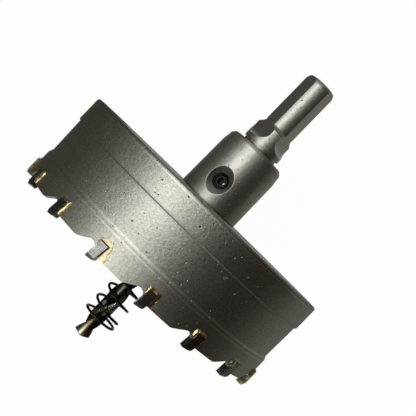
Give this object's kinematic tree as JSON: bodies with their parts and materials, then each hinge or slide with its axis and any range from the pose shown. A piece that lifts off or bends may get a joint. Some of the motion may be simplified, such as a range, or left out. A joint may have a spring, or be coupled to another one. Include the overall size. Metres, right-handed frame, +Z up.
{
  "type": "hole saw",
  "caption": "Carbide-tipped hole saw with a flanged arbor, a three-flat chuck shank, a pilot drill and an ejector spring.",
  "frame": {"origin": "middle of the bounding box's bottom face, on the surface that the saw lies on", "axes": "+X along the saw's axis towards the shank's end, +Z up; the teeth and the pilot drill point to -X"},
  "size_m": [0.1212, 0.1038, 0.1039],
  "materials": {
    "cup_steel": "turned steel, satin, with small dark pits",
    "arbor_steel": "turned and milled steel, semi-bright",
    "black_screw_steel": "black oxide",
    "drill_steel": "black oxide over ground flutes, straw at the point",
    "spring_wire": "black oiled spring wire",
    "carbide": "ground cemented carbide, dark grey",
    "braze": "pale flowed braze"
  },
  "bodies": {
    "root": {"saw_cup": "cup_steel", "arbor": "arbor_steel", "grub_screw": "black_screw_steel", "pilot_drill": "drill_steel", "ejector_spring": "spring_wire", "carbide_tip_01": "carbide", "carbide_tip_02": "carbide", "carbide_tip_03": "carbide", "carbide_tip_04": "carbide", "carbide_tip_05": "carbide", "carbide_tip_06": "carbide", "carbide_tip_07": "carbide", "carbide_tip_08": "carbide", "carbide_tip_09": "carbide", "carbide_tip_10": "carbide", "carbide_tip_11": "carbide", "carbide_tip_12": "carbide", "carbide_tip_13": "carbide", "carbide_tip_14": "carbide", "carbide_tip_15": "carbide", "carbide_tip_16": "carbide", "braze_joint_01": "braze", "braze_joint_02": "braze", "braze_joint_03": "braze", "braze_joint_04": "braze", "braze_joint_05": "braze", "braze_joint_06": "braze", "braze_joint_07": "braze", "braze_joint_08": "braze", "braze_joint_09": "braze", "braze_joint_10": "braze", "braze_joint_11": "braze", "braze_joint_12": "braze", "braze_joint_13": "braze", "braze_joint_14": "braze", "braze_joint_15": "braze", "braze_joint_16": "braze"}
  },
  "joints": []
}
